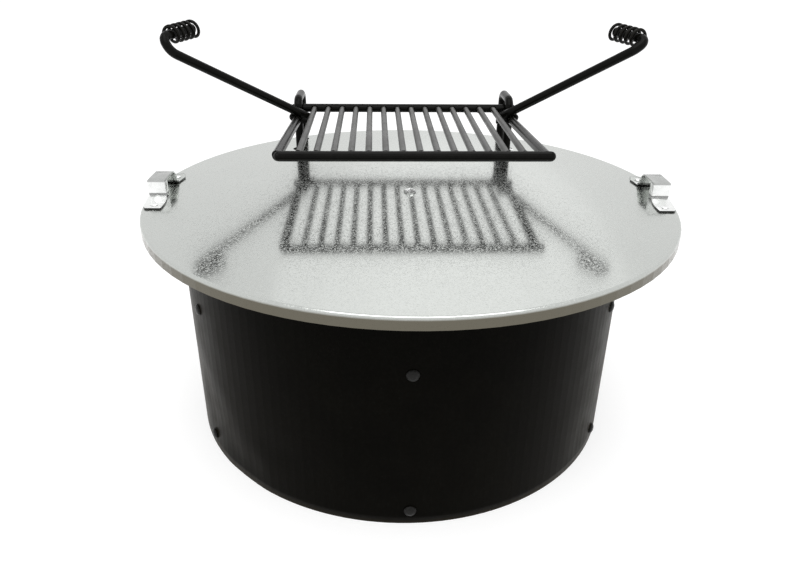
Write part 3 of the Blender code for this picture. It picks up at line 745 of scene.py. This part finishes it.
class GRILL_OT_coils(bpy.types.Operator):
    """Wind the two open coil grips round the arms' ends"""
    bl_idname = "grill.coils"
    bl_label = "Coil grips"

    def wire_path(self, side):
        """The wire's middle line: a turn-in at each end and the turns between them."""
        size = sizes()
        wind = (size.coil_outside - size.coil_wire) / 2
        bend = size.coil_wire * COIL_BEND
        seat = ROD_RADIUS + COIL_SEAT
        length = size.coil_pitch * size.coil_turns
        first = GRIP_START + GRIP_DIRECTION * (GRIP_ROD_LENGTH + size.coil_wire - length) / 2
        across = GRIP_DIRECTION.cross(Vector((0, 0, 1))).normalized()
        rise = across.cross(GRIP_DIRECTION)
        turn_in = [(seat, bend)]
        for step in range(TURN_IN_POINTS):
            angle = math.pi / 2 * step / (TURN_IN_POINTS - 1)
            turn_in.append((wind - bend + bend * math.sin(angle), bend * math.cos(angle)))
        round_once = 2 * math.pi * wind
        spots = [(-along / round_once, radius, 0.0) for radius, along in turn_in]
        steps = round(TURN_POINTS * size.coil_turns)
        spots += [(size.coil_turns * step / steps, wind, step / steps) for step in range(1, steps)]
        spots += [(size.coil_turns + along / round_once, radius, 1.0 - TAIL_BACK * along / bend)
                  for radius, along in reversed(turn_in)]
        path = []
        for turn, radius, share in spots:
            angle = 2 * math.pi * turn
            out = across * math.cos(angle) + rise * math.sin(angle)
            point = first + GRIP_DIRECTION * (length * share) + out * radius
            path.append((side * point.x, point.y, point.z))
        return path

    def execute(self, context):
        finish = coil_finish()
        for side, label in ((1, "right"), (-1, "left")):
            deselect()
            bpy.ops.curve.primitive_nurbs_path_add(location=(0, 0, 0))
            coil = named(f"wound_grip_{label}")
            wire = coil.data
            wire.splines.clear()
            path = self.wire_path(side)
            line = wire.splines.new("POLY")
            line.points.add(len(path) - 1)
            for spot, point in zip(line.points, path):
                spot.co = (*point, 1.0)
            wire.bevel_depth = sizes().coil_wire / 2
            wire.bevel_resolution = 4
            wire.use_fill_caps = True
            bpy.ops.object.convert(target="MESH")
            edit(coil, "FACE", lambda face: True)
            bpy.ops.mesh.remove_doubles(threshold=0.00001)
            bpy.ops.mesh.normals_make_consistent(inside=False)
            close_edit()
            settle(coil, 60)
            dress(coil, finish, "grate")
            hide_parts(f"coil_grip_{label}")
        return {"FINISHED"}


class GRILL_OT_stage(bpy.types.Operator):
    """Lay the floor, hang the lamps and set up the camera"""
    bl_idname = "grill.stage"
    bl_label = "Stage"

    def execute(self, context):
        deselect()
        bpy.ops.mesh.primitive_circle_add(vertices=96, radius=FLOOR_RADIUS, fill_type="NGON")
        floor = named("studio_floor")
        white = bpy.data.materials.new("Studio floor")
        white.use_nodes = True
        tree = white.node_tree
        shader = tree.nodes["Principled BSDF"]
        shader.inputs["Roughness"].default_value = 0.9
        shader.inputs["Specular IOR Level"].default_value = 0.0
        place = tree.nodes.new("ShaderNodeTexCoord")
        cloud = texture(tree, "ShaderNodeTexNoise", place.outputs["Object"], (-700, 0), Scale=2.0)
        level = spread(tree, cloud.outputs["Fac"], 0.99, 1.01, (-500, 0))
        tint = blend_colours(tree, 1.0, opaque(colours().floor), level, (-300, 0), "MULTIPLY")
        tree.links.new(tint, shader.inputs["Base Color"])
        shader.inputs["Emission Color"].default_value = (1, 1, 1, 1)
        glow = spread(tree, background_rays(tree), 0.0, FLOOR_GLOW, (-300, -300))
        tree.links.new(glow, shader.inputs["Emission Strength"])
        floor.data.materials.append(white)

        world = bpy.data.worlds.new("Studio")
        world.use_nodes = True
        context.scene.world = world
        tree = world.node_tree
        tree.nodes["Background"].inputs["Color"].default_value = (1, 1, 1, 1)
        tree.nodes["Background"].inputs["Strength"].default_value = 1.0

        for name, spot, aim, size, power in LAMPS:
            deselect()
            bpy.ops.object.light_add(type="AREA", location=spot)
            lamp = named(name)
            lamp.data.shape = "DISK"
            lamp.data.size = size
            lamp.data.energy = power
            lamp.rotation_euler = (Vector(aim) - Vector(spot)).to_track_quat("-Z", "Y").to_euler()

        deselect()
        bpy.ops.object.camera_add(location=CAMERA_PLACE)
        camera = named("Camera")
        forward = Vector(CAMERA_FORWARD).normalized()
        level = forward.cross(Vector((0, 0, 1))).normalized()
        upward = level.cross(forward)
        roll = math.radians(CAMERA_ROLL)
        right = level * math.cos(roll) + upward * math.sin(roll)
        up = upward * math.cos(roll) - level * math.sin(roll)
        camera.rotation_euler = Matrix((right, up, -forward)).transposed().to_euler()
        camera.data.sensor_fit = "HORIZONTAL"
        camera.data.sensor_width = CAMERA_SENSOR
        camera.data.lens = CAMERA_LENS
        context.scene.camera = camera
        context.scene.view_settings.view_transform = "Standard"
        return {"FINISHED"}


class GRILL_PT_panel(bpy.types.Panel):
    """The grill's pieces, sizes and colours"""
    bl_idname = "GRILL_PT_panel"
    bl_label = "Charcoal grill"
    bl_space_type = "VIEW_3D"
    bl_region_type = "UI"
    bl_category = "Grill"

    def draw(self, context):
        for kind in STEPS:
            self.layout.operator(kind.bl_idname)
        for group in (sizes(), colours()):
            box = self.layout.box()
            for name in group.__annotations__:
                box.prop(group, name)


STEPS = (GRILL_OT_stage, GRILL_OT_drum, GRILL_OT_lid, GRILL_OT_handles, GRILL_OT_rods,
         GRILL_OT_welds, GRILL_OT_coils)
CLASSES = (GrillSizes, GrillColours, *STEPS, GRILL_PT_panel)


def register():
    for kind in CLASSES:
        bpy.utils.register_class(kind)
    bpy.types.Scene.grill_sizes = bpy.props.PointerProperty(type=GrillSizes)
    bpy.types.Scene.grill_colours = bpy.props.PointerProperty(type=GrillColours)


def unregister():
    del bpy.types.Scene.grill_sizes
    del bpy.types.Scene.grill_colours
    for kind in reversed(CLASSES):
        bpy.utils.unregister_class(kind)


def main():
    register()
    bpy.ops.grill.stage()
    bpy.ops.grill.drum()
    bpy.ops.grill.lid()
    bpy.ops.grill.handles()
    bpy.ops.grill.rods()
    bpy.ops.grill.welds()
    bpy.ops.grill.coils()
    bpy.context.view_layer.update()


if __name__ == "__main__":
    main()
